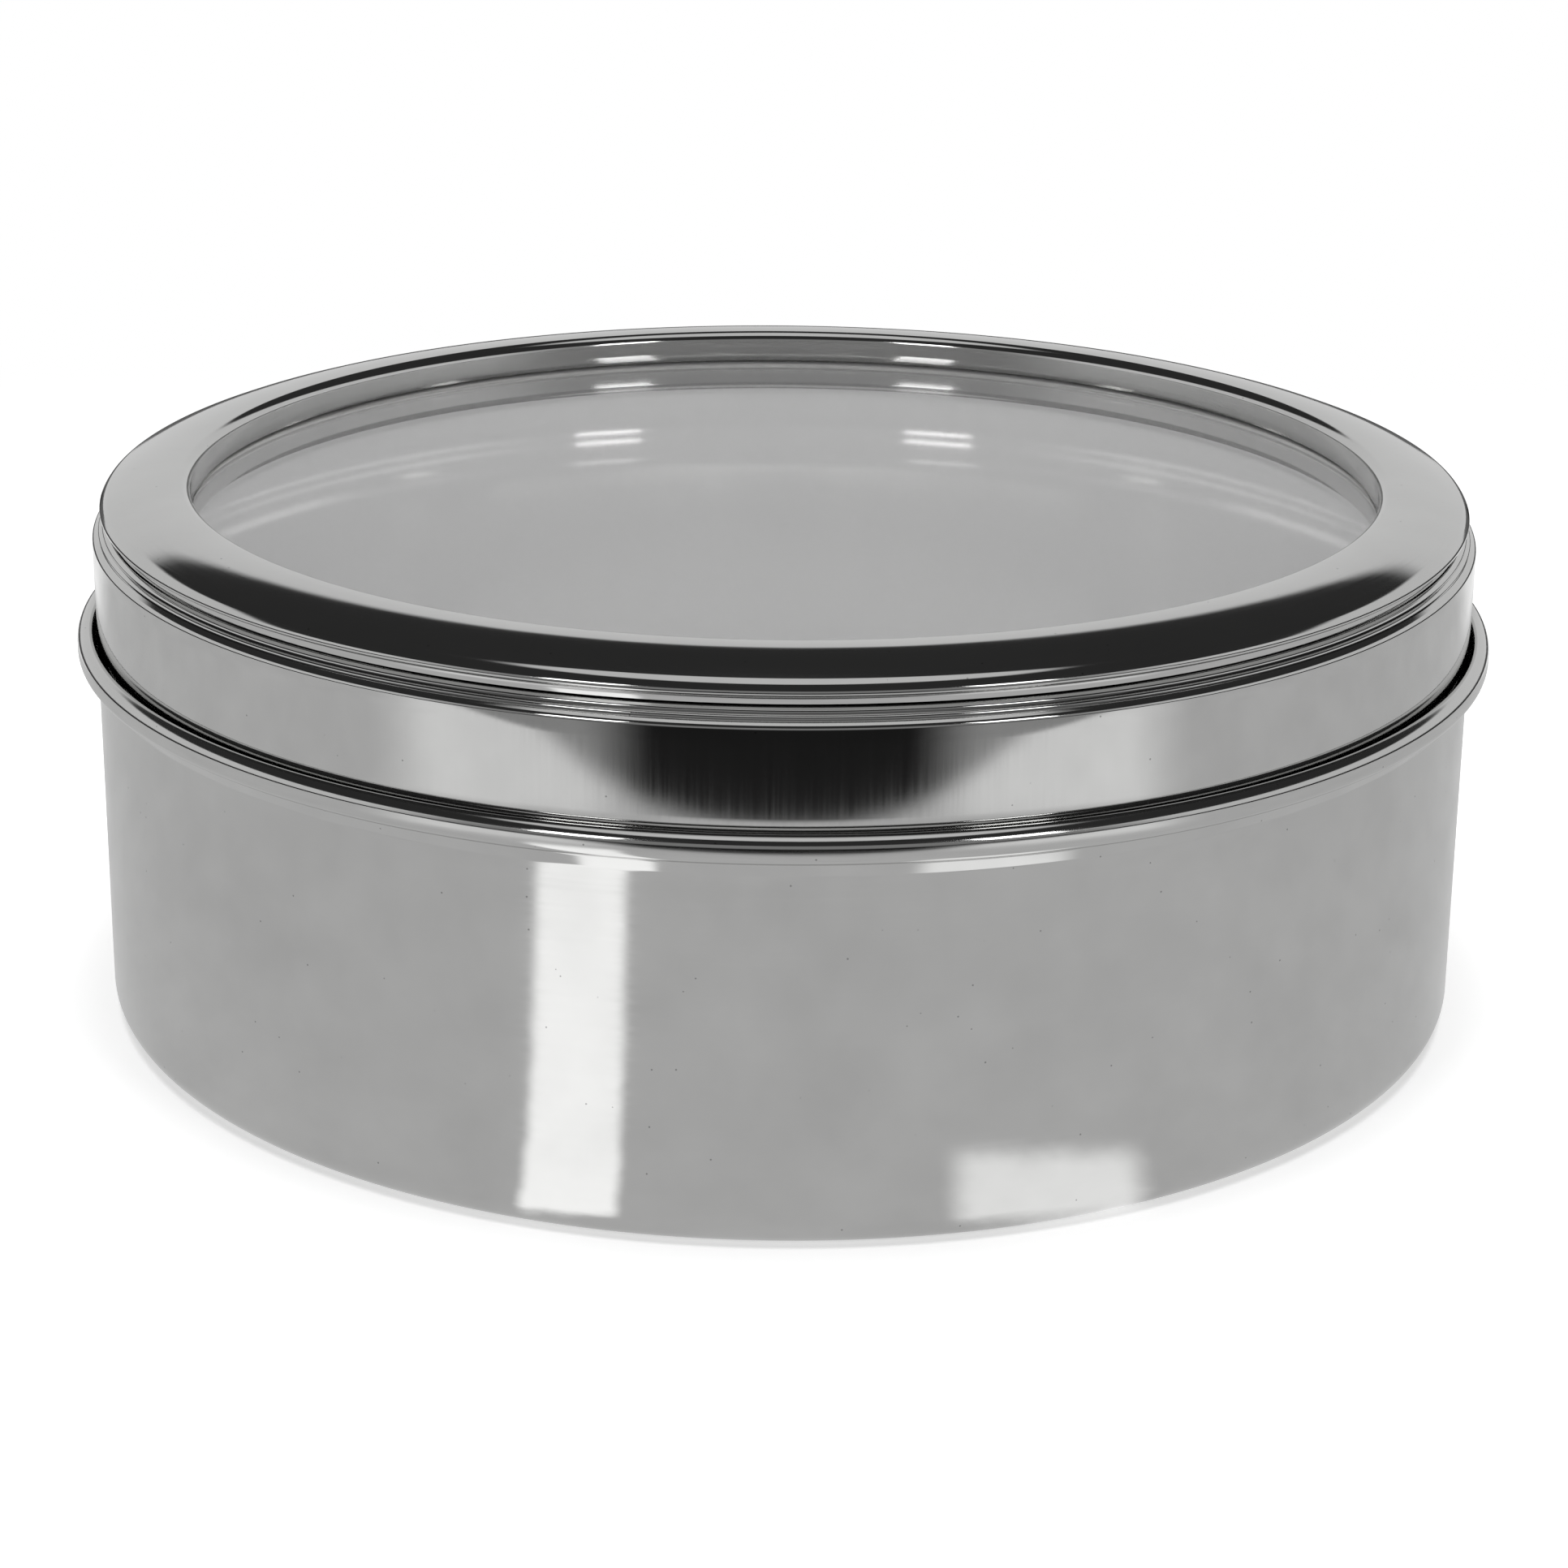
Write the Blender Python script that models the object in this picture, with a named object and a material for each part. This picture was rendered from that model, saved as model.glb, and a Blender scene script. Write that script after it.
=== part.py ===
"""Round stainless-steel food box with a lift-off lid that has a clear window.

Every metal piece is thin sheet turned about the vertical axis. A piece is drawn as the middle line
of its sheet, given the sheet's thickness, and spun once round. Lengths are in metres, +Z is up, and
the origin is the middle of the face that the box stands on.
"""
import math

import bmesh
import bpy
from mathutils import Vector

# Stock and fits
SHEET = 0.0006              # thickness of the stainless sheet, all pieces
FIT_GAP = 0.0003            # between faces that touch on the real box
MOUTH_CLEARANCE = 0.0006    # round the lid's skirt, inside the flared mouth
FACETS = 48                 # flats round a full turn
ARC_STEPS = 3               # flats round one bend of a section
SHARP_ANGLE = math.radians(35)
MERGE_DISTANCE = 1e-6

# Container
WALL_RADIUS = 0.1167        # outside of the straight wall, and of the lid's skirt
WALL_HEIGHT = 0.0598        # from the table to where the mouth starts to flare
BASE_CORNER_RADIUS = 0.0040
FLARE_HEIGHT = 0.0022
FLARE_BEND = 0.0010
MOUTH_DEPTH = 0.0053        # from the top of the flare to the top of the rolled rim
RIM_OVERHANG = 0.0021       # middle of the mouth wall to middle of the rim's outer face
RIM_FALL = 0.0007           # how far the rim's top slopes down outwards
RIM_HEIGHT = 0.0041
RIM_INNER_BEND = 0.00072
RIM_OUTER_BEND = 0.0015
RIM_LOWER_BEND = 0.0010
RIM_MOUTH_SLOT = 0.0006     # slot left where the roll comes back to the mouth wall

# Lid skirt, heights from the plane that its lower edge rests on
SKIRT_HEIGHT = 0.0209
SHOULDER_BEND = 0.0013
SHOULDER_WIDTH = 0.0022
SHOULDER_RISE = 0.00195
NECK_HEIGHT = 0.0018
BULGE_REACH = 0.0017        # from the neck out to the edge that the crown ring is rolled over
BULGE_BEND = 0.00033
WELL_DEPTH = 0.0064         # from the top of the bulge down to the window's seat
WELL_BEND = 0.0006
SEAT_WIDTH = 0.0077

# Crown ring
CROWN_INSET = 0.0014        # outer edge, measured in from the skirt
CROWN_WIDTH = 0.0150        # outer edge to window opening
CROWN_SLOPE = 0.36          # fall of the top face outwards, as height over width
CREST_BEND = 0.0042
EDGE_BEND = 0.0010
EDGE_HEIGHT = 0.00152
HEM_TUCK = 0.0012           # how far the hem is rolled in under the edge
HEM_RISE = 0.00075
HEM_HEIGHT = 0.0007
HEM_BEND = 0.0004

# Window
WINDOW_THICKNESS = 0.0025
WINDOW_EDGE_CLEARANCE = 0.0004
SEAL_THICKNESS = 0.0007
SEAL_WIDTH = 0.0065

# Radii and heights that follow from the sizes above
HALF = SHEET / 2
STEP = SHEET + FIT_GAP      # middle line to middle line of two sheets that touch

wall_middle = WALL_RADIUS - HALF
mouth_middle = WALL_RADIUS + MOUTH_CLEARANCE + HALF
flare_top = WALL_HEIGHT + FLARE_HEIGHT
rim_top = flare_top + MOUTH_DEPTH - HALF
rim_outer = mouth_middle + RIM_OVERHANG
rim_bottom = rim_top - RIM_HEIGHT
rim_end = mouth_middle + SHEET + RIM_MOUTH_SLOT - HALF

# The skirt's outer lower corner stands FIT_GAP off the sloping inside of the flare.
flare_run = mouth_middle - wall_middle
flare_length = math.hypot(flare_run, FLARE_HEIGHT)
corner_reach = WALL_RADIUS - wall_middle + (HALF + FIT_GAP) * flare_length / FLARE_HEIGHT
LID_REST_HEIGHT = WALL_HEIGHT + corner_reach * FLARE_HEIGHT / flare_run

ledge_height = SKIRT_HEIGHT + SHOULDER_RISE
crown_edge = WALL_RADIUS - CROWN_INSET - HALF
hem_middle = crown_edge - HEM_TUCK
neck_middle = hem_middle - STEP
hem_bottom = ledge_height + HALF + FIT_GAP
hem_top = hem_bottom + HEM_HEIGHT
edge_bottom = hem_top + HEM_RISE
edge_top = edge_bottom + EDGE_HEIGHT
bulge_height = edge_top - SHEET
opening_radius = WALL_RADIUS - CROWN_INSET - CROWN_WIDTH
lip_middle = opening_radius + HALF
seat_height = bulge_height - WELL_DEPTH
seat_inner = lip_middle + FIT_GAP
well_middle = seat_inner + SEAT_WIDTH
window_radius = well_middle - HALF - WINDOW_EDGE_CLEARANCE
seal_bottom = seat_height + HALF + FIT_GAP
window_bottom = seal_bottom + SEAL_THICKNESS + FIT_GAP
window_top = window_bottom + WINDOW_THICKNESS
lip_bottom = window_top + FIT_GAP


def clear_scene():
    """Remove whatever the file holds."""
    for old in list(bpy.data.objects):
        bpy.data.objects.remove(old, do_unlink=True)


def make_material(name, color, metallic, roughness, transmission=0.0, ior=1.5):
    """Return a Principled material with one even colour."""
    material = bpy.data.materials.new(name)
    material.use_nodes = True
    shader = material.node_tree.nodes["Principled BSDF"]
    shader.inputs["Base Color"].default_value = (*color, 1.0)
    shader.inputs["Metallic"].default_value = metallic
    shader.inputs["Roughness"].default_value = roughness
    shader.inputs["Transmission Weight"].default_value = transmission
    shader.inputs["IOR"].default_value = ior
    return material


def bend_points(before, corner, after, radius):
    """Return the points of a round bend of this radius at a corner of a section."""
    arriving = (corner - before).normalized()
    leaving = (after - corner).normalized()
    turn = arriving.angle(leaving)
    tangent = radius * math.tan(turn / 2)
    centre = corner + (leaving - arriving).normalized() * radius / math.cos(turn / 2)
    start = corner - arriving * tangent - centre
    side = 1.0 if arriving.cross(leaving) > 0 else -1.0
    points = []
    for step in range(ARC_STEPS + 1):
        angle = side * turn * step / ARC_STEPS
        points.append(centre + Vector((start.x * math.cos(angle) - start.y * math.sin(angle),
                                       start.x * math.sin(angle) + start.y * math.cos(angle))))
    return points


def bent_line(corners):
    """Return a section's middle line from corners given as (radius, height, bend radius)."""
    places = [Vector((radius, height)) for radius, height, _ in corners]
    line = [places[0]]
    for index in range(1, len(corners) - 1):
        bend = corners[index][2]
        if bend > 0:
            line += bend_points(places[index - 1], places[index], places[index + 1], bend)
        else:
            line.append(places[index])
    line.append(places[-1])
    return line


def sheet_outline(line):
    """Return the closed outline of a sheet whose middle runs along the line."""
    left = []
    right = []
    for index, place in enumerate(line):
        ahead = line[min(index + 1, len(line) - 1)] - line[min(index, len(line) - 2)]
        behind = line[max(index, 1)] - line[max(index, 1) - 1]
        across_ahead = Vector((-ahead.y, ahead.x)).normalized()
        across_behind = Vector((-behind.y, behind.x)).normalized()
        across = (across_ahead + across_behind).normalized()
        offset = across * HALF / across.dot(across_ahead)
        left.append(place + offset)
        right.append(place - offset)
    return left + right[::-1]


def turn_outline(name, outline, material):
    """Spin a closed outline once round the vertical axis into one closed solid."""
    mesh = bpy.data.meshes.new(name)
    work = bmesh.new()
    section = [work.verts.new((place.x, 0.0, place.y)) for place in outline]
    edges = []
    for index, vert in enumerate(section):
        following = section[(index + 1) % len(section)]
        on_axis = max(vert.co.x, following.co.x) < MERGE_DISTANCE
        if not on_axis:
            edges.append(work.edges.new((vert, following)))
    bmesh.ops.spin(work, geom=section + edges, cent=(0, 0, 0), axis=(0, 0, 1),
                   angle=2 * math.pi, steps=FACETS, use_merge=True)
    bmesh.ops.remove_doubles(work, verts=work.verts, dist=MERGE_DISTANCE)
    bmesh.ops.recalc_face_normals(work, faces=work.faces)
    work.to_mesh(mesh)
    work.free()
    mesh.shade_smooth()
    mesh.set_sharp_from_angle(angle=SHARP_ANGLE)
    mesh.materials.append(material)
    piece = bpy.data.objects.new(name, mesh)
    bpy.context.scene.collection.objects.link(piece)
    return piece


def make_container():
    """Drawn shell: flat base, straight wall, flared mouth and a rolled rim."""
    corners = [(0.0, HALF, 0.0),
               (wall_middle, HALF, BASE_CORNER_RADIUS),
               (wall_middle, WALL_HEIGHT, FLARE_BEND),
               (mouth_middle, flare_top, FLARE_BEND),
               (mouth_middle, rim_top, RIM_INNER_BEND),
               (rim_outer, rim_top - RIM_FALL, RIM_OUTER_BEND),
               (rim_outer, rim_bottom, RIM_LOWER_BEND),
               (rim_end, rim_bottom, 0.0)]
    steel = make_material("container_steel", (0.60, 0.60, 0.60), 1.0, 0.16)
    return turn_outline("container_body", sheet_outline(bent_line(corners)), steel)


def make_lid_skirt():
    """Lid pressing: skirt, shoulder, neck, the bulge for the crown's hem, and the window's well."""
    corners = [(wall_middle, 0.0, 0.0),
               (wall_middle, SKIRT_HEIGHT, SHOULDER_BEND),
               (wall_middle - SHOULDER_WIDTH, ledge_height, 0.0),
               (neck_middle, ledge_height, 0.0),
               (neck_middle, ledge_height + NECK_HEIGHT, 0.0),
               (neck_middle + BULGE_REACH, bulge_height, BULGE_BEND),
               (well_middle, bulge_height, WELL_BEND),
               (well_middle, seat_height, WELL_BEND),
               (seat_inner, seat_height, 0.0)]
    steel = make_material("lid_skirt_steel", (0.58, 0.58, 0.58), 1.0, 0.14)
    return turn_outline("lid_skirt", sheet_outline(bent_line(corners)), steel)


def make_crown_ring():
    """Domed ring that holds the window down, its outer edge rolled in over the skirt's bulge."""
    crest_corner = edge_top + CROWN_SLOPE * (crown_edge - lip_middle)
    corners = [(lip_middle, lip_bottom, 0.0),
               (lip_middle, crest_corner, CREST_BEND),
               (crown_edge, edge_top, EDGE_BEND),
               (crown_edge, edge_bottom, HEM_BEND),
               (hem_middle, hem_top, HEM_BEND),
               (hem_middle, hem_bottom, 0.0)]
    steel = make_material("crown_ring_steel", (0.64, 0.64, 0.64), 1.0, 0.14)
    return turn_outline("lid_crown_ring", sheet_outline(bent_line(corners)), steel)


def make_window():
    """Clear acrylic disc, loose in the well by its edge clearance."""
    outline = [Vector((0.0, window_bottom)),
               Vector((window_radius, window_bottom)),
               Vector((window_radius, window_top)),
               Vector((0.0, window_top))]
    acrylic = make_material("window_acrylic", (0.95, 0.96, 0.96), 0.0, 0.03, 1.0, 1.49)
    return turn_outline("lid_window", outline, acrylic)


def make_window_seal():
    """Flat silicone ring between the well's seat and the window."""
    inner = window_radius - SEAL_WIDTH
    outline = [Vector((inner, seal_bottom)),
               Vector((window_radius, seal_bottom)),
               Vector((window_radius, seal_bottom + SEAL_THICKNESS)),
               Vector((inner, seal_bottom + SEAL_THICKNESS))]
    silicone = make_material("seal_silicone", (0.75, 0.75, 0.74), 0.0, 0.5)
    return turn_outline("window_seal", outline, silicone)


def main():
    """Build the container, and the lid on an empty at the height that it rests at."""
    clear_scene()
    make_container()
    lid_axis = bpy.data.objects.new("lid_axis", None)
    lid_axis.location = (0.0, 0.0, LID_REST_HEIGHT)
    bpy.context.scene.collection.objects.link(lid_axis)
    for piece in (make_lid_skirt(), make_crown_ring(), make_window(), make_window_seal()):
        piece.parent = lid_axis


main()
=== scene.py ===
"""Round stainless-steel bread box with a lift-off lid and a clear window, laid out as an add-on.

Run it as a script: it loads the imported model, turns each sheet-metal piece and the window to their
finished shape, gives them their finishes, and sets a plain studio round them.
"""

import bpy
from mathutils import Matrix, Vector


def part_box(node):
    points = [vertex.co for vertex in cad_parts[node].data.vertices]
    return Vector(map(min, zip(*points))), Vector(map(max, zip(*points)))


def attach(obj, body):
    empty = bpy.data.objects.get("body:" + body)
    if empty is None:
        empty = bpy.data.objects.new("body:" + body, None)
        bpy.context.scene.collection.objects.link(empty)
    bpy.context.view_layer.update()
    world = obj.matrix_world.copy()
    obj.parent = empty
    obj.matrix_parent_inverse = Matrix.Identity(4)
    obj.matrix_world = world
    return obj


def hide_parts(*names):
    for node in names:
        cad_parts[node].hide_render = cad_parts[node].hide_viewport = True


bl_info = {
    "name": "Steel Bread Box",
    "version": (1, 0, 0),
    "blender": (4, 5, 0),
    "location": "3D View > Sidebar > Bread Box",
    "description": "Models a round steel bread box with a see-through lid, its finishes and a studio",
    "category": "Object",
}

import math

import bmesh
import bpy
from bpy.props import FloatProperty, FloatVectorProperty, IntProperty, PointerProperty
from mathutils import Matrix, Vector

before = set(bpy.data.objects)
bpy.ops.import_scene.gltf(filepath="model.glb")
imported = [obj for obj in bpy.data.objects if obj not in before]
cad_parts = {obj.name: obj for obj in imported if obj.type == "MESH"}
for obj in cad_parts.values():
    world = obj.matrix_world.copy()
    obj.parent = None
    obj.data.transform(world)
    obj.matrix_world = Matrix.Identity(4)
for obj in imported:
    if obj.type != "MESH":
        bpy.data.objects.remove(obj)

_, CONTAINER_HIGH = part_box("container_body")
SKIRT_LOW, SKIRT_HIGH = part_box("lid_skirt")
CROWN_LOW, CROWN_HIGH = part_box("lid_crown_ring")
WINDOW_LOW, WINDOW_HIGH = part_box("lid_window")
SEAL_LOW, SEAL_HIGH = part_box("window_seal")

# Sections: points closer than this are merged, straight runs are cut to this length, and edges sharper
# than this angle count as the sheet's trimmed edges.
MERGE_DISTANCE = 1e-6
LONGEST_EDGE = 0.0025
TRIMMED_ANGLE = math.radians(70)

# The skirt's shoulder: how many step rises below the ledge it starts, then the corners of its fine
# steps as (step widths in from the wall, step rises below the ledge).
SHOULDER_START = 4.2
SHOULDER_STEPS = ((1.5, 3.1), (1.6, 2.1), (2.5, 1.7), (2.6, 0.6), (3.4, 0.0))


def linear(hex_colour):
    """Return an sRGB hex colour such as #C0C0C0 as a linear RGBA colour."""
    channels = []
    for start in (1, 3, 5):
        value = int(hex_colour[start:start + 2], 16) / 255
        channels.append(value / 12.92 if value <= 0.04045 else ((value + 0.055) / 1.055) ** 2.4)
    return (*channels, 1.0)


def length(name, description, default):
    """Return a length property in metres."""
    return FloatProperty(name=name, description=description, default=default, min=0.0,
                         subtype="DISTANCE", unit="LENGTH", precision=5)


def colour(name, description, hex_colour):
    """Return a colour property from an sRGB hex value."""
    return FloatVectorProperty(name=name, description=description, size=4, subtype="COLOR",
                               min=0.0, max=1.0, default=linear(hex_colour))


class BreadBoxSizes(bpy.types.PropertyGroup):
    """Sizes of the box's sections, as a press shop would give them."""

    sheet: length("Sheet", "Thickness of the stainless sheet", 0.0006)
    edge_round: length("Edge round", "Rounding of the sheet's trimmed edges", 0.00012)
    turns: IntProperty(name="Turns", description="Flats round a full turn", default=240, min=32)
    fit_gap: length("Fit gap", "Gap between pieces that touch", 0.0003)

    base_corner: length("Base corner", "Bend between the base and the wall", 0.0040)
    wall_height: length("Wall height", "Height where the mouth starts to flare", 0.0598)
    flare_height: length("Flare height", "Height of the flare at the mouth", 0.0022)
    flare_bend: length("Flare bend", "Bend at each end of the flare", 0.0010)
    mouth_clearance: length("Mouth clearance", "Gap round the lid's skirt in the mouth", 0.0006)
    rim_fall: length("Rim fall", "How far the rim's top slopes down outwards", 0.0007)
    rim_height: length("Rim height", "Height of the rolled rim", 0.0041)
    rim_inner_bend: length("Rim inner bend", "Bend at the rim's inner top edge", 0.00072)
    rim_outer_bend: length("Rim outer bend", "Bend at the rim's outer top edge", 0.0015)
    rim_lower_bend: length("Rim lower bend", "Bend at the rim's lower edge", 0.0010)
    rim_slot: length("Rim slot", "Slot left where the roll comes back to the wall", 0.0006)

    skirt_height: length("Skirt height", "Height of the skirt's straight part", 0.0209)
    bead_height: length("Bead height", "Skirt's lower edge to its first bead, and on to the second", 0.0019)
    bead_width: length("Bead width", "Width of the beads hidden in the container's mouth", 0.0016)
    bead_depth: length("Bead depth", "Depth of the beads hidden in the container's mouth", 0.00035)
    bead_bend: length("Bead bend", "Bends of the beads", 0.0006)
    shoulder_bend: length("Shoulder bend", "Bend at the top of the skirt", 0.0006)
    step_width: length("Step width", "Width of each fine step on the shoulder", 0.00065)
    step_rise: length("Step rise", "Height of each fine step on the shoulder", 0.00052)
    step_bend: length("Step bend", "Bends of the fine steps", 0.00014)
    shoulder_rise: length("Shoulder rise", "Height of the sloping shoulder", 0.00195)
    neck_height: length("Neck height", "Height of the neck under the crown ring's hem", 0.0018)
    bulge_reach: length("Bulge reach", "How far the bulge stands out from the neck", 0.0017)
    bulge_bend: length("Bulge bend", "Bend at the bulge's edge", 0.00033)
    well_bend: length("Well bend", "Bends of the window's well", 0.0006)
    seat_width: length("Seat width", "Width of the flat seat that carries the window", 0.0077)

    crown_width: length("Crown width", "Width of the crown ring, outer edge to opening", 0.0150)
    crown_rise: length("Crown rise", "Height of the crown ring's inner edge above the hem's slope", 0.0036)
    dome_run: length("Dome run", "Inner edge of the crown ring out to its dome's corner", 0.0064)
    dome_rise: length("Dome rise", "Rise of the dome's corner above the inner edge", 0.00075)
    dome_bend: length("Dome bend", "Radius of the crown ring's gentle dome", 0.0200)
    lip_bend: length("Lip bend", "Bend at the crown ring's inner edge", 0.0015)
    brow_drop: length("Brow drop", "Fall of the dome from its corner to its brow", 0.00277)
    brow_inset: length("Brow inset", "Brow to the crown ring's outer edge", 0.0008)
    brow_bend: length("Brow bend", "Bend over the brow", 0.0020)
    edge_bend: length("Edge bend", "Bend at the crown ring's outer edge", 0.0006)
    edge_height: length("Edge height", "Height of the crown ring's outer edge", 0.0004)
    hem_tuck: length("Hem tuck", "How far the hem is rolled in under the edge", 0.0012)
    hem_rise: length("Hem rise", "Height of the hem's slope", 0.0005)
    hem_height: length("Hem height", "Height of the hem's straight end", 0.0012)
    hem_bend: length("Hem bend", "Bends of the hem", 0.0004)

    pane_bevel: length("Pane bevel", "Chamfer round the window's edges", 0.0003)
    seal_bevel: length("Seal bevel", "Rounding of the seal's edges", 0.00015)
    seal_setback: length("Seal setback", "Crown ring's opening to the seal's inner edge", 0.0011)


class BreadBoxFinishes(bpy.types.PropertyGroup):
    """Colours of the finishes."""

    steel: colour("Steel", "Bright stainless steel", "#CDCDCC")
    acrylic: colour("Acrylic", "Tint of the clear window", "#F7F7F7")
    silicone: colour("Silicone", "Pale silicone of the window's seal", "#C9C9C6")
    floor: colour("Floor", "Pale studio floor", "#F2F2F2")


class BreadBoxStudio(bpy.types.PropertyGroup):
    """Camera and studio settings."""

    distance: length("Distance", "Camera to the point that it looks at", 0.6712)
    elevation: FloatProperty(name="Elevation", description="Camera height angle", subtype="ANGLE",
                             default=math.radians(19.376))
    roll: FloatProperty(name="Roll", description="Camera tilt about its own axis", subtype="ANGLE",
                        default=0.0098)
    lens: FloatProperty(name="Lens", description="Focal length in mm on a 36 mm sensor", default=87.9)
    target: FloatVectorProperty(name="Target", description="Point that the camera looks at",
                                subtype="TRANSLATION", default=(0.00036, 0.0, 0.03287))
    tabletop: length("Tabletop", "Half the depth of the pale tabletop that the metal mirrors", 0.302)


class SectionSizes:
    """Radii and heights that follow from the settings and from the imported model."""

    def __init__(self, sizes):
        self.sizes = sizes
        half = sizes.sheet / 2
        step = sizes.sheet + sizes.fit_gap
        self.half = half
        self.wall_middle = SKIRT_HIGH.x - half
        self.mouth_middle = SKIRT_HIGH.x + sizes.mouth_clearance + half
        self.flare_top = sizes.wall_height + sizes.flare_height
        self.rim_top = CONTAINER_HIGH.z - half
        self.rim_outer = CONTAINER_HIGH.x - half
        self.rim_bottom = self.rim_top - sizes.rim_height
        self.rim_end = self.mouth_middle + sizes.sheet + sizes.rim_slot - half

        self.lid_rest = SKIRT_LOW.z
        self.ledge = self.lid_rest + sizes.skirt_height + sizes.shoulder_rise
        self.crown_edge = CROWN_HIGH.x - half
        self.hem_middle = self.crown_edge - sizes.hem_tuck
        self.neck_middle = self.hem_middle - step
        self.hem_bottom = CROWN_LOW.z
        self.hem_top = self.hem_bottom + sizes.hem_height
        self.edge_bottom = self.hem_top + sizes.hem_rise
        self.edge_top = self.edge_bottom + sizes.edge_height
        self.bulge = SKIRT_HIGH.z - half
        self.lip_middle = CROWN_HIGH.x - sizes.crown_width + half
        self.lip_bottom = WINDOW_HIGH.z + sizes.fit_gap
        self.lip_top = self.edge_bottom + sizes.crown_rise
        self.dome_corner = self.lip_top + sizes.dome_rise
        self.brow = self.dome_corner - sizes.brow_drop
        self.seat = SEAL_LOW.z - sizes.fit_gap - half
        self.seat_inner = self.lip_middle + sizes.fit_gap
        self.well_middle = self.seat_inner + sizes.seat_width


# Shapes

def bend_corner(work, vert, radius, steepest=math.radians(6)):
    """Round one corner of a section drawn as a chain of edges, in steps of about six degrees."""
    ends = [edge.other_vert(vert).co - vert.co for edge in vert.link_edges]
    turn = math.pi - ends[0].angle(ends[1])
    segments = max(4, round(turn / steepest))
    bmesh.ops.bevel(work, geom=[vert], offset=radius * math.tan(turn / 2), offset_type="OFFSET",
                    segments=segments, profile=0.5, affect="VERTICES", material=-1)


def draw_section(work, corners, closed=False):
    """Draw a section in the XZ plane from (radius, height, bend) corners, and bend the corners."""
    verts = [work.verts.new((radius, 0.0, height)) for radius, height, _ in corners]
    for first, second in zip(verts, verts[1:] + verts[:1] if closed else verts[1:]):
        work.edges.new((first, second))
    for vert, (_, _, bend) in zip(verts, corners):
        if bend > 0:
            bend_corner(work, vert, bend)


def cut_long_edges(work, longest):
    """Cut the section's straight runs so that shading stays true next to the bends."""
    for edge in list(work.edges):
        cuts = int(edge.calc_length() / longest)
        if cuts:
            bmesh.ops.subdivide_edges(work, edges=[edge], cuts=cuts)


def turn_section(name, corners, closed=False):
    """Turn a section once about the vertical axis and return the piece."""
    turns = bpy.context.scene.bread_box_sizes.turns
    work = bmesh.new()
    draw_section(work, corners, closed)
    cut_long_edges(work, LONGEST_EDGE)
    bmesh.ops.spin(work, geom=work.verts[:] + work.edges[:], cent=(0, 0, 0), axis=(0, 0, 1),
                   angle=2 * math.pi, steps=turns, use_merge=True)
    bmesh.ops.remove_doubles(work, verts=work.verts, dist=MERGE_DISTANCE)
    bmesh.ops.recalc_face_normals(work, faces=work.faces)
    mesh = bpy.data.meshes.new(name)
    work.to_mesh(mesh)
    work.free()
    mesh.shade_smooth()
    piece = bpy.data.objects.new(name, mesh)
    bpy.context.scene.collection.objects.link(piece)
    return piece


def thicken(piece):
    """Give a turned middle surface the sheet's thickness, and round its trimmed edges."""
    sizes = bpy.context.scene.bread_box_sizes
    solidify = piece.modifiers.new("Sheet", "SOLIDIFY")
    solidify.thickness = sizes.sheet
    solidify.offset = 0.0
    solidify.use_even_offset = True
    bevel = piece.modifiers.new("Trimmed edges", "BEVEL")
    bevel.width = sizes.edge_round
    bevel.segments = 2
    bevel.limit_method = "ANGLE"
    bevel.angle_limit = TRIMMED_ANGLE


def finish_piece(piece, node, body, material):
    """Let a finished piece stand for its node, ride on its body and take its material."""
    piece.data.materials.append(material)
    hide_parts(node)
    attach(piece, body)


# Materials

# Sizes across of the steel's unevenness, in metres.
MARK_SPACING = 0.0006
MARK_LENGTH = 0.025
RIPPLE_WIDTH = 0.015
PEEL_WIDTH = 0.0009
SMUDGE_WIDTH = 0.025
SPECK_SPACING = 0.004
# Orange peel is this share as deep as the polishing marks.
PEEL_SHARE = 0.3
# A smudge dulls the steel to this share, and a speck to this one. A speck's edge lies between these
# shares of the spacing from its middle, which makes it about 0.3 mm wide.
SMUDGE_SHADE = 0.94
SPECK_SHADE = 0.55
SPECK_EDGE = (0.03, 0.045)
# The silicone's moulding grain, in metres.
GRAIN_WIDTH = 0.0005
GRAIN_DEPTH = 0.00002


def add_node(tree, kind, settings=None, links=None):
    """Add a node, set its attributes and sockets, and link its inputs."""
    node = tree.nodes.new(kind)
    for key, value in (settings or {}).items():
        if isinstance(key, str) and hasattr(node, key):
            setattr(node, key, value)
        else:
            node.inputs[key].default_value = value
    for key, source in (links or {}).items():
        tree.links.new(source, node.inputs[key])
    return node


def new_material(name):
    """Return a material with an empty node tree, the tree and its output node."""
    material = bpy.data.materials.new(name)
    material.use_nodes = True
    tree = material.node_tree
    tree.nodes.clear()
    output = add_node(tree, "ShaderNodeOutputMaterial")
    return material, tree, output


def calculate(tree, operation, *values):
    """Return the result of a math node whose inputs are sockets or plain numbers."""
    node = add_node(tree, "ShaderNodeMath", {"operation": operation})
    for index, value in enumerate(values):
        if isinstance(value, bpy.types.NodeSocket):
            tree.links.new(value, node.inputs[index])
        else:
            node.inputs[index].default_value = value
    return node.outputs[0]


def remap(tree, value, low, high, from_value, to_value, kind="LINEAR"):
    """Return a socket that goes from one value to the other as the input goes from low to high."""
    node = add_node(tree, "ShaderNodeMapRange",
                    {"interpolation_type": kind, 1: low, 2: high, 3: from_value, 4: to_value}, {0: value})
    return node.outputs["Result"]


def band(tree, value, middle, half_width, soft, low, high):
    """Return a socket that is high within a band about the middle and falls softly to low outside."""
    away = calculate(tree, "ABSOLUTE", calculate(tree, "SUBTRACT", value, middle))
    return remap(tree, away, half_width - soft, half_width + soft, high, low, "SMOOTHSTEP")


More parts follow.
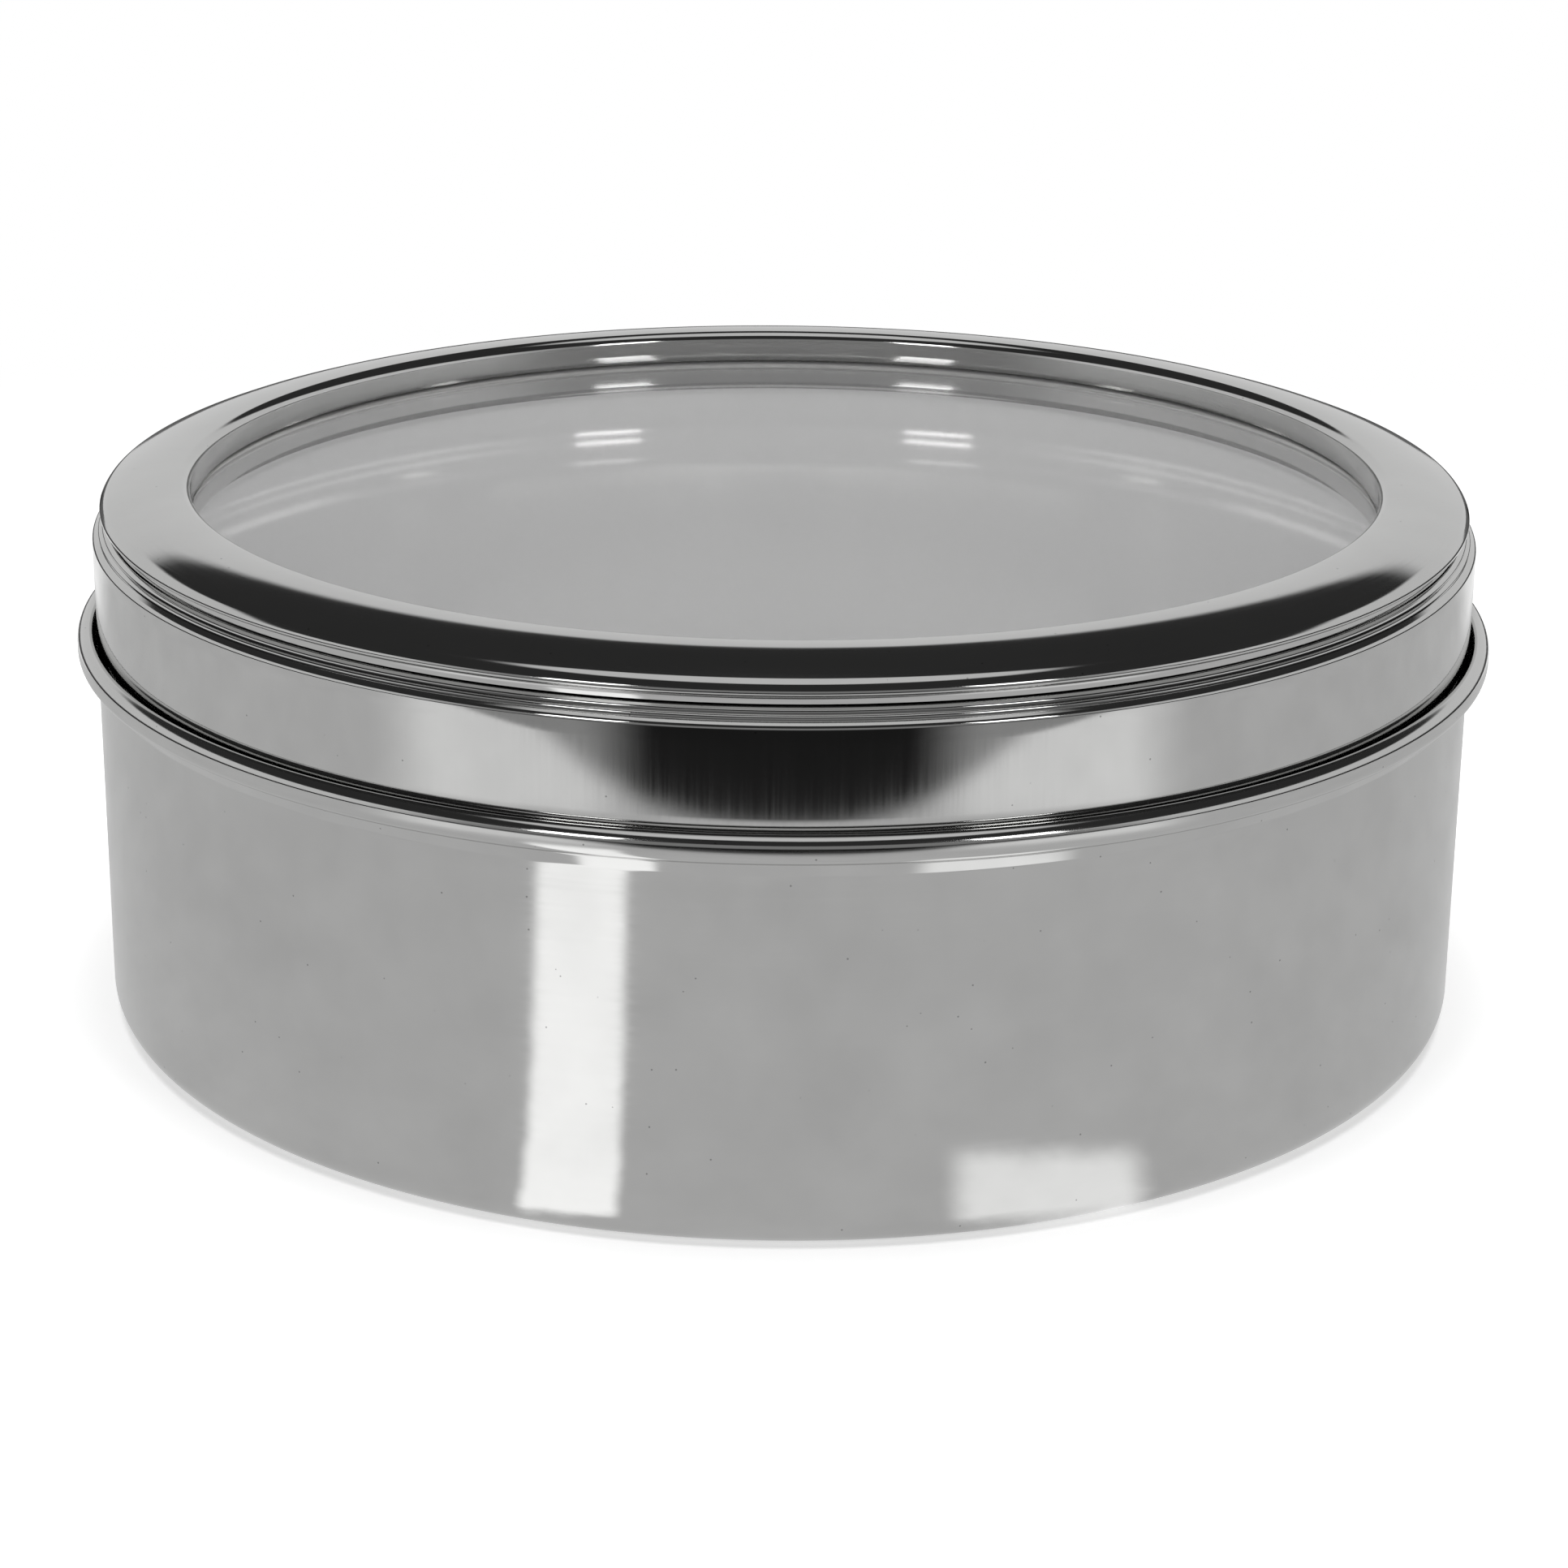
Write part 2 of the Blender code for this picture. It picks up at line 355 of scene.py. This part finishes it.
def noise(tree, place, size, detail, roughness=0.5):
    """Return an uneven height whose shapes are about this size across."""
    node = add_node(tree, "ShaderNodeTexNoise",
                    {"Scale": 1 / size, "Detail": detail, "Roughness": roughness}, {"Vector": place})
    return node.outputs["Fac"]


def bump(tree, height, depth, normal=None):
    """Return the surface's normal, or the one given, tilted by an uneven height of this depth."""
    links = {"Height": height}
    if normal is not None:
        links["Normal"] = normal
    node = add_node(tree, "ShaderNodeBump", {"Strength": 1.0, "Distance": depth}, links)
    return node.outputs["Normal"]


def mix_shaders(tree, share, first, second):
    """Return a node that shows the first shader node where the share is 0 and the second where it is 1."""
    return add_node(tree, "ShaderNodeMixShader",
                    links={0: share, 1: first.outputs[0], 2: second.outputs[0]})


def polishing_marks(tree, place, upright):
    """Return the height of fine marks that run upright or round the axis."""
    fine, coarse = 1 / MARK_SPACING, 1 / MARK_LENGTH
    if upright:
        along = add_node(tree, "ShaderNodeVectorMath", {"operation": "MULTIPLY", 1: (fine, fine, coarse)},
                         {0: place})
    else:
        split = add_node(tree, "ShaderNodeSeparateXYZ", links={0: place})
        flat = add_node(tree, "ShaderNodeVectorMath", {"operation": "MULTIPLY", 1: (1.0, 1.0, 0.0)},
                        {0: place})
        radius = add_node(tree, "ShaderNodeVectorMath", {"operation": "LENGTH"}, {0: flat.outputs[0]})
        across = calculate(tree, "SUBTRACT", split.outputs["Z"], radius.outputs["Value"])
        across = calculate(tree, "MULTIPLY", across, fine)
        upward = add_node(tree, "ShaderNodeCombineXYZ", links={2: across})
        along = add_node(tree, "ShaderNodeVectorMath",
                         {"operation": "MULTIPLY_ADD", 1: (coarse, coarse, 0.0)},
                         {0: place, 2: upward.outputs[0]})
    return noise(tree, along.outputs[0], 1.0, 3.0, 0.6)


def make_steel(name, roughness, mark_depth, ripple_depth, upright=False):
    """Bright stainless steel, pressed and polished.

    Polishing leaves faint marks, which blur reflections across them. The pressed sheet ripples very
    slightly and has a fine orange peel, so reflected edges waver. Handling leaves soft smudges and a
    few tiny dull specks.
    """
    finishes = bpy.context.scene.bread_box_finishes
    material, tree, output = new_material(name)
    place = add_node(tree, "ShaderNodeTexCoord").outputs["Object"]
    marks = polishing_marks(tree, place, upright)
    normal = bump(tree, noise(tree, place, RIPPLE_WIDTH, 2.0), ripple_depth)
    normal = bump(tree, marks, mark_depth, normal)
    normal = bump(tree, noise(tree, place, PEEL_WIDTH, 2.0), mark_depth * PEEL_SHARE, normal)
    rough = remap(tree, marks, 0.3, 0.7, roughness * 0.8, roughness * 1.25)
    smudges = remap(tree, noise(tree, place, SMUDGE_WIDTH, 5.0, 0.62), 0.35, 0.70, 1.0, SMUDGE_SHADE)
    cells = add_node(tree, "ShaderNodeTexVoronoi", {"Scale": 1 / SPECK_SPACING}, {"Vector": place})
    specks = remap(tree, cells.outputs["Distance"], *SPECK_EDGE, SPECK_SHADE, 1.0)
    tint = add_node(tree, "ShaderNodeVectorMath", {"operation": "SCALE", 0: tuple(finishes.steel)[:3]},
                    {"Scale": calculate(tree, "MULTIPLY", smudges, specks)})
    shader = add_node(tree, "ShaderNodeBsdfPrincipled", {"Metallic": 1.0},
                      {"Base Color": tint.outputs[0], "Roughness": rough, "Normal": normal})
    tree.links.new(shader.outputs[0], output.inputs[0])
    return material


def make_acrylic():
    """Cast acrylic, clear and polished: it mirrors its surroundings faintly and lets lamps through."""
    finishes = bpy.context.scene.bread_box_finishes
    material, tree, output = new_material("clear_cast_acrylic")
    shader = add_node(tree, "ShaderNodeBsdfPrincipled",
                      {"Base Color": tuple(finishes.acrylic), "Roughness": 0.03, "IOR": 1.49,
                       "Transmission Weight": 0.93})
    clear = add_node(tree, "ShaderNodeBsdfTransparent", {"Color": tuple(finishes.acrylic)})
    path = add_node(tree, "ShaderNodeLightPath")
    mix = mix_shaders(tree, path.outputs["Is Shadow Ray"], shader, clear)
    tree.links.new(mix.outputs[0], output.inputs[0])
    return material


def make_silicone():
    """Moulded silicone: a fine grain makes it matt and soft to the eye."""
    finishes = bpy.context.scene.bread_box_finishes
    material, tree, output = new_material("moulded_silicone")
    place = add_node(tree, "ShaderNodeTexCoord").outputs["Object"]
    normal = bump(tree, noise(tree, place, GRAIN_WIDTH, 2.0), GRAIN_DEPTH)
    shader = add_node(tree, "ShaderNodeBsdfPrincipled",
                      {"Base Color": tuple(finishes.silicone), "Roughness": 0.5}, {"Normal": normal})
    tree.links.new(shader.outputs[0], output.inputs[0])
    return material


# Pieces

class BREADBOX_OT_container(bpy.types.Operator):
    """Turn the drawn container with its flared mouth and rolled rim"""

    bl_idname = "bread_box.container"
    bl_label = "Container"

    def execute(self, context):
        sizes = context.scene.bread_box_sizes
        at = SectionSizes(sizes)
        corners = [(0.0, at.half, 0.0),
                   (at.wall_middle, at.half, sizes.base_corner),
                   (at.wall_middle, sizes.wall_height, sizes.flare_bend),
                   (at.mouth_middle, at.flare_top, sizes.flare_bend),
                   (at.mouth_middle, at.rim_top, sizes.rim_inner_bend),
                   (at.rim_outer, at.rim_top - sizes.rim_fall, sizes.rim_outer_bend),
                   (at.rim_outer, at.rim_bottom, sizes.rim_lower_bend),
                   (at.rim_end, at.rim_bottom, 0.0)]
        piece = turn_section("container_shell", corners)
        thicken(piece)
        steel = make_steel("lathe_polished_stainless_steel", roughness=0.09, mark_depth=1.0e-6,
                           ripple_depth=1.2e-5)
        finish_piece(piece, "container_body", "container", steel)
        return {"FINISHED"}


class BREADBOX_OT_lid_skirt(bpy.types.Operator):
    """Turn the lid's skirt with its shoulder, neck and window well"""

    bl_idname = "bread_box.lid_skirt"
    bl_label = "Lid Skirt"

    def execute(self, context):
        sizes = context.scene.bread_box_sizes
        at = SectionSizes(sizes)
        low, high = at.lid_rest + sizes.bead_height, at.lid_rest + 2 * sizes.bead_height
        half_bead = sizes.bead_width / 2
        steps = [(at.wall_middle - inwards * sizes.step_width, at.ledge - down * sizes.step_rise,
                  sizes.step_bend) for inwards, down in SHOULDER_STEPS]
        corners = [(at.wall_middle, at.lid_rest, 0.0),
                   (at.wall_middle, low - half_bead, sizes.bead_bend),
                   (at.wall_middle - sizes.bead_depth, low, sizes.bead_bend),
                   (at.wall_middle, low + half_bead, sizes.bead_bend),
                   (at.wall_middle, high - half_bead, sizes.bead_bend),
                   (at.wall_middle - sizes.bead_depth, high, sizes.bead_bend),
                   (at.wall_middle, high + half_bead, sizes.bead_bend),
                   (at.wall_middle, at.ledge - SHOULDER_START * sizes.step_rise, sizes.shoulder_bend),
                   *steps,
                   (at.neck_middle, at.ledge, 0.0),
                   (at.neck_middle, at.ledge + sizes.neck_height, 0.0),
                   (at.neck_middle + sizes.bulge_reach, at.bulge, sizes.bulge_bend),
                   (at.well_middle, at.bulge, sizes.well_bend),
                   (at.well_middle, at.seat, sizes.well_bend),
                   (at.seat_inner, at.seat, 0.0)]
        piece = turn_section("lid_skirt_pressing", corners)
        thicken(piece)
        steel = make_steel("pressed_stainless_steel", roughness=0.065, mark_depth=0.9e-6,
                           ripple_depth=1.0e-5, upright=True)
        finish_piece(piece, "lid_skirt", "lid", steel)
        return {"FINISHED"}


class BREADBOX_OT_crown_ring(bpy.types.Operator):
    """Turn the domed crown ring and the hem rolled in under its edge"""

    bl_idname = "bread_box.crown_ring"
    bl_label = "Crown Ring"

    def execute(self, context):
        sizes = context.scene.bread_box_sizes
        at = SectionSizes(sizes)
        corners = [(at.lip_middle, at.lip_bottom, 0.0),
                   (at.lip_middle, at.lip_top, sizes.lip_bend),
                   (at.lip_middle + sizes.dome_run, at.dome_corner, sizes.dome_bend),
                   (at.crown_edge - sizes.brow_inset, at.brow, sizes.brow_bend),
                   (at.crown_edge, at.edge_top, sizes.edge_bend),
                   (at.crown_edge, at.edge_bottom, sizes.hem_bend),
                   (at.hem_middle, at.hem_top, sizes.hem_bend),
                   (at.hem_middle, at.hem_bottom, 0.0)]
        piece = turn_section("crown_ring", corners)
        thicken(piece)
        steel = make_steel("bright_stainless_steel", roughness=0.08, mark_depth=0.8e-6,
                           ripple_depth=1.2e-5)
        finish_piece(piece, "lid_crown_ring", "lid", steel)
        return {"FINISHED"}


class BREADBOX_OT_window(bpy.types.Operator):
    """Turn the clear window and the seal that it rests on"""

    bl_idname = "bread_box.window"
    bl_label = "Window and Seal"

    def execute(self, context):
        sizes = context.scene.bread_box_sizes
        pane_corners = [(0.0, WINDOW_LOW.z, 0.0),
                        (WINDOW_HIGH.x, WINDOW_LOW.z, sizes.pane_bevel),
                        (WINDOW_HIGH.x, WINDOW_HIGH.z, sizes.pane_bevel),
                        (0.0, WINDOW_HIGH.z, 0.0)]
        pane = turn_section("window_pane", pane_corners)
        finish_piece(pane, "lid_window", "lid", make_acrylic())
        inner = CROWN_HIGH.x - sizes.crown_width + sizes.seal_setback
        seal_corners = [(inner, SEAL_LOW.z, sizes.seal_bevel),
                        (SEAL_HIGH.x, SEAL_LOW.z, sizes.seal_bevel),
                        (SEAL_HIGH.x, SEAL_HIGH.z, sizes.seal_bevel),
                        (inner, SEAL_HIGH.z, sizes.seal_bevel)]
        seal = turn_section("silicone_seal", seal_corners, closed=True)
        finish_piece(seal, "window_seal", "lid", make_silicone())
        return {"FINISHED"}


# Studio

# Lengths are in metres and angles in radians. Light is the strength of an emission.
FLOOR_HALF = 4.0
# To the camera the floor is paint with a little light of its own, and between these distances it
# turns into plain white.
FLOOR_LIFT = 0.45
WHITE_EDGE = (0.20, 0.45)

# The tabletop that the metal mirrors is wider than it is deep. Its soft edge starts this far inside
# and ends this far outside, and its light falls to that of the dark surroundings there.
TABLE_DEPTH_TO_WIDTH = 0.72
TABLE_EDGE = (0.012, 0.006)
TABLE_LIGHT = 0.60
DARK_LIGHT = 0.014
# Further out, the room's own floor shows between these distances.
ROOM_EDGE = (0.55, 0.75)
ROOM_LIGHT = 0.11

# Painted glints on the tabletop: a band of angles and a band of distances, each as (middle, half its
# width, softness), and the light. One is long, one is short, and a wide faint one lies past both.
LONG_STREAK = ((math.radians(-31), math.radians(7), 0.020), (0.145, 0.078, 0.004), 0.85)
SHORT_STREAK = ((math.radians(40), math.radians(13), 0.05), (0.079, 0.014, 0.006), 0.6)
SIDE_GLOW = ((math.radians(43), math.radians(17), 0.12), (0.37, 0.125, 0.014), 0.32)
# They fan out from a line inside the wall, at this share of the radius.
FAN_SHARE = 0.49
# Noise makes the edges of the painted glints waver in angle and in distance, as on a slightly uneven top.
UNEVEN_WIDTH = 0.012
ANGLE_WAVER = 0.018
DISTANCE_WAVER = 0.004
# Soft patches paint the light that the metal mirrors from the top a little darker or lighter.
MOTTLE_WIDTH = 0.035
MOTTLE_LIGHT = (0.955, 1.045)

# Round the box, in shares of the way up from level to overhead: (middle, half its width, softness).
LOW_BAND = (0.0, 0.285, 0.02)
OVERHEAD_BAND = (1.0, 0.26, 0.03)
GAP_LIGHT = 0.04
OVERHEAD_LIGHT = 0.90
# The low band is dim by the camera and bright at the sides and behind, and changes between these
# shares of the way back.
LOW_BAND_EDGE = (-0.75, -0.35)
LOW_BAND_LIGHT = (0.28, 0.85)

# Lamps face this point.
LAMP_TARGET = Vector((0.0, 0.0, 0.05))
SOFTBOX_AZIMUTHS = {"left_softbox": math.radians(-31), "right_softbox": math.radians(36)}
SENSOR_WIDTH = 36.0


def glint(tree, angle, away, angles, distances, light):
    """Return the painted light of one glint on the tabletop."""
    return calculate(tree, "MULTIPLY", band(tree, angle, *angles, 0.0, light),
                     band(tree, away, *distances, 0.0, 1.0))


def mirrored_floor(tree, place, across, depth, reach):
    """Return the floor's light as the metal mirrors it.

    Soft glints like those that lamps leave on a tabletop are painted into this light. A curved wall
    mirrors them as upright streaks, so they fan out from a line about half a radius inside the wall,
    in front of the box and behind it alike.
    """
    tabletop = bpy.context.scene.bread_box_studio.tabletop
    table = remap(tree, reach, tabletop - TABLE_EDGE[0], tabletop + TABLE_EDGE[1],
                  TABLE_LIGHT, DARK_LIGHT, "SMOOTHSTEP")
    room = remap(tree, reach, *ROOM_EDGE, 0.0, ROOM_LIGHT, "SMOOTHSTEP")
    uneven = noise(tree, place, UNEVEN_WIDTH, 5.0, 0.65)
    ahead = calculate(tree, "SUBTRACT", depth, CONTAINER_HIGH.x * FAN_SHARE)
    angle = calculate(tree, "ADD", calculate(tree, "ARCTAN2", across, ahead),
                      remap(tree, uneven, 0.0, 1.0, -ANGLE_WAVER, ANGLE_WAVER))
    flat = add_node(tree, "ShaderNodeCombineXYZ", links={0: across, 1: ahead})
    straight = add_node(tree, "ShaderNodeVectorMath", {"operation": "LENGTH"}, {0: flat.outputs[0]})
    away = calculate(tree, "ADD", straight.outputs["Value"],
                     remap(tree, uneven, 0.0, 1.0, -DISTANCE_WAVER, DISTANCE_WAVER))
    # The painted glints are added to the tabletop's light here.
    light = table
    for part in (glint(tree, angle, away, *LONG_STREAK), glint(tree, angle, away, *SHORT_STREAK),
                 glint(tree, calculate(tree, "ABSOLUTE", angle), away, *SIDE_GLOW), room):
        light = calculate(tree, "ADD", light, part)
    # The mirrored light is painted a little darker or lighter in soft patches.
    painted_mottle = remap(tree, noise(tree, place, MOTTLE_WIDTH, 4.0, 0.6), 0.3, 0.7, *MOTTLE_LIGHT)
    return calculate(tree, "MULTIPLY", painted_mottle, light)


def make_floor_material():
    """Pale paint for the eye, and for the metal a tabletop of limited size with dark beyond it."""
    finishes = bpy.context.scene.bread_box_finishes
    material, tree, output = new_material("studio_floor")
    place = add_node(tree, "ShaderNodeTexCoord").outputs["Object"]
    split = add_node(tree, "ShaderNodeSeparateXYZ", links={0: place})
    across = split.outputs["X"]
    depth = calculate(tree, "ABSOLUTE", split.outputs["Y"])
    width = calculate(tree, "MULTIPLY", calculate(tree, "ABSOLUTE", across), TABLE_DEPTH_TO_WIDTH)
    reach = calculate(tree, "MAXIMUM", width, depth)
    mirrored = add_node(tree, "ShaderNodeEmission",
                        links={"Strength": mirrored_floor(tree, place, across, depth, reach)})
    paint = add_node(tree, "ShaderNodeBsdfDiffuse", {"Color": tuple(finishes.floor)})
    lift = add_node(tree, "ShaderNodeEmission", {"Strength": FLOOR_LIFT})
    near = add_node(tree, "ShaderNodeAddShader", links={0: paint.outputs[0], 1: lift.outputs[0]})
    white = add_node(tree, "ShaderNodeEmission", {"Strength": 1.0})
    far = remap(tree, reach, *WHITE_EDGE, 0.0, 1.0, "SMOOTHSTEP")
    path = add_node(tree, "ShaderNodeLightPath")
    direct = mix_shaders(tree, path.outputs["Is Camera Ray"], paint, mix_shaders(tree, far, near, white))
    mix = mix_shaders(tree, path.outputs["Is Glossy Ray"], direct, mirrored)
    tree.links.new(mix.outputs[0], output.inputs[0])
    return material


def make_world():
    """White to the camera; to the metal, a pale band low down, a dark gap and a bright overhead."""
    world = bpy.data.worlds.new("studio_world")
    world.use_nodes = True
    tree = world.node_tree
    tree.nodes.clear()
    place = add_node(tree, "ShaderNodeTexCoord")
    split = add_node(tree, "ShaderNodeSeparateXYZ", links={0: place.outputs["Generated"]})
    share_up = calculate(tree, "MULTIPLY", calculate(tree, "ARCSINE", split.outputs["Z"]), 2 / math.pi)
    backdrop = remap(tree, split.outputs["Y"], *LOW_BAND_EDGE, *LOW_BAND_LIGHT, "SMOOTHSTEP")
    low = calculate(tree, "MULTIPLY", backdrop, band(tree, share_up, *LOW_BAND, 0.0, 1.0))
    overhead = band(tree, share_up, *OVERHEAD_BAND, GAP_LIGHT, OVERHEAD_LIGHT)
    mirrored = add_node(tree, "ShaderNodeBackground",
                        links={"Strength": calculate(tree, "ADD", low, overhead)})
    white = add_node(tree, "ShaderNodeBackground", {"Color": (1.0, 1.0, 1.0, 1.0)})
    path = add_node(tree, "ShaderNodeLightPath")
    mix = mix_shaders(tree, path.outputs["Is Camera Ray"], mirrored, white)
    output = add_node(tree, "ShaderNodeOutputWorld", links={0: mix.outputs[0]})
    output.is_active_output = True
    return world


def add_lamp(name, azimuth, elevation, distance, size, energy):
    """Add a soft area lamp that faces the box; azimuth 0 is the camera's side."""
    data = bpy.data.lights.new(name, "AREA")
    data.shape = "RECTANGLE"
    data.size, data.size_y = size
    data.energy = energy
    lamp = bpy.data.objects.new(name, data)
    away = Vector((math.sin(azimuth) * math.cos(elevation), -math.cos(azimuth) * math.cos(elevation),
                   math.sin(elevation)))
    lamp.location = away * distance + LAMP_TARGET
    lamp.rotation_euler = (-away).to_track_quat("-Z", "Y").to_euler()
    bpy.context.scene.collection.objects.link(lamp)
    return lamp


def add_floor():
    """Add the flat studio floor that the box stands on."""
    work = bmesh.new()
    bmesh.ops.create_grid(work, x_segments=1, y_segments=1, size=FLOOR_HALF)
    mesh = bpy.data.meshes.new("floor")
    work.to_mesh(mesh)
    work.free()
    floor = bpy.data.objects.new("floor", mesh)
    floor.data.materials.append(make_floor_material())
    bpy.context.scene.collection.objects.link(floor)


def add_camera(studio):
    """Add the camera in front of the box, as the studio settings say, and use it."""
    away = Vector((0.0, -math.cos(studio.elevation), math.sin(studio.elevation)))
    data = bpy.data.cameras.new("camera")
    data.lens = studio.lens
    data.sensor_width = SENSOR_WIDTH
    camera = bpy.data.objects.new("camera", data)
    camera.location = Vector(studio.target) + away * studio.distance
    facing = (-away).to_track_quat("-Z", "Y").to_matrix().to_4x4()
    camera.rotation_euler = (facing @ Matrix.Rotation(studio.roll, 4, "Z")).to_euler()
    bpy.context.scene.collection.objects.link(camera)
    bpy.context.scene.camera = camera


class BREADBOX_OT_stage(bpy.types.Operator):
    """Set the floor, the soft studio light and the camera"""

    bl_idname = "bread_box.stage"
    bl_label = "Stage"

    def execute(self, context):
        add_floor()
        context.scene.world = make_world()
        overhead = add_lamp("overhead", azimuth=0.0, elevation=math.radians(89), distance=1.1,
                            size=(0.9, 0.9), energy=12.0)
        overhead.visible_glossy = False
        for name, azimuth in SOFTBOX_AZIMUTHS.items():
            add_lamp(name, azimuth, elevation=math.radians(26), distance=1.2, size=(0.24, 0.30),
                     energy=1.0)
        add_camera(context.scene.bread_box_studio)
        context.scene.view_settings.view_transform = "Standard"
        return {"FINISHED"}


class BREADBOX_PT_panel(bpy.types.Panel):
    """Buttons and settings for the bread box"""

    bl_idname = "BREADBOX_PT_panel"
    bl_label = "Bread Box"
    bl_space_type = "VIEW_3D"
    bl_region_type = "UI"
    bl_category = "Bread Box"

    def draw(self, context):
        for operator in OPERATORS:
            self.layout.operator(operator.bl_idname)
        for group in (context.scene.bread_box_sizes, context.scene.bread_box_finishes,
                      context.scene.bread_box_studio):
            box = self.layout.box()
            for name in group.__annotations__:
                box.prop(group, name)


OPERATORS = (BREADBOX_OT_container, BREADBOX_OT_lid_skirt, BREADBOX_OT_crown_ring,
             BREADBOX_OT_window, BREADBOX_OT_stage)
CLASSES = (BreadBoxSizes, BreadBoxFinishes, BreadBoxStudio, *OPERATORS, BREADBOX_PT_panel)


def register():
    """Register the classes and hang the settings on the scene."""
    for cls in CLASSES:
        bpy.utils.register_class(cls)
    bpy.types.Scene.bread_box_sizes = PointerProperty(type=BreadBoxSizes)
    bpy.types.Scene.bread_box_finishes = PointerProperty(type=BreadBoxFinishes)
    bpy.types.Scene.bread_box_studio = PointerProperty(type=BreadBoxStudio)


def unregister():
    """Take the settings off the scene and unregister the classes."""
    del bpy.types.Scene.bread_box_sizes
    del bpy.types.Scene.bread_box_finishes
    del bpy.types.Scene.bread_box_studio
    for cls in reversed(CLASSES):
        bpy.utils.unregister_class(cls)


def main():
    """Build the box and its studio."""
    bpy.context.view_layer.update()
    register()
    bpy.ops.bread_box.container()
    bpy.ops.bread_box.lid_skirt()
    bpy.ops.bread_box.crown_ring()
    bpy.ops.bread_box.window()
    bpy.ops.bread_box.stage()


if __name__ == "__main__":
    main()
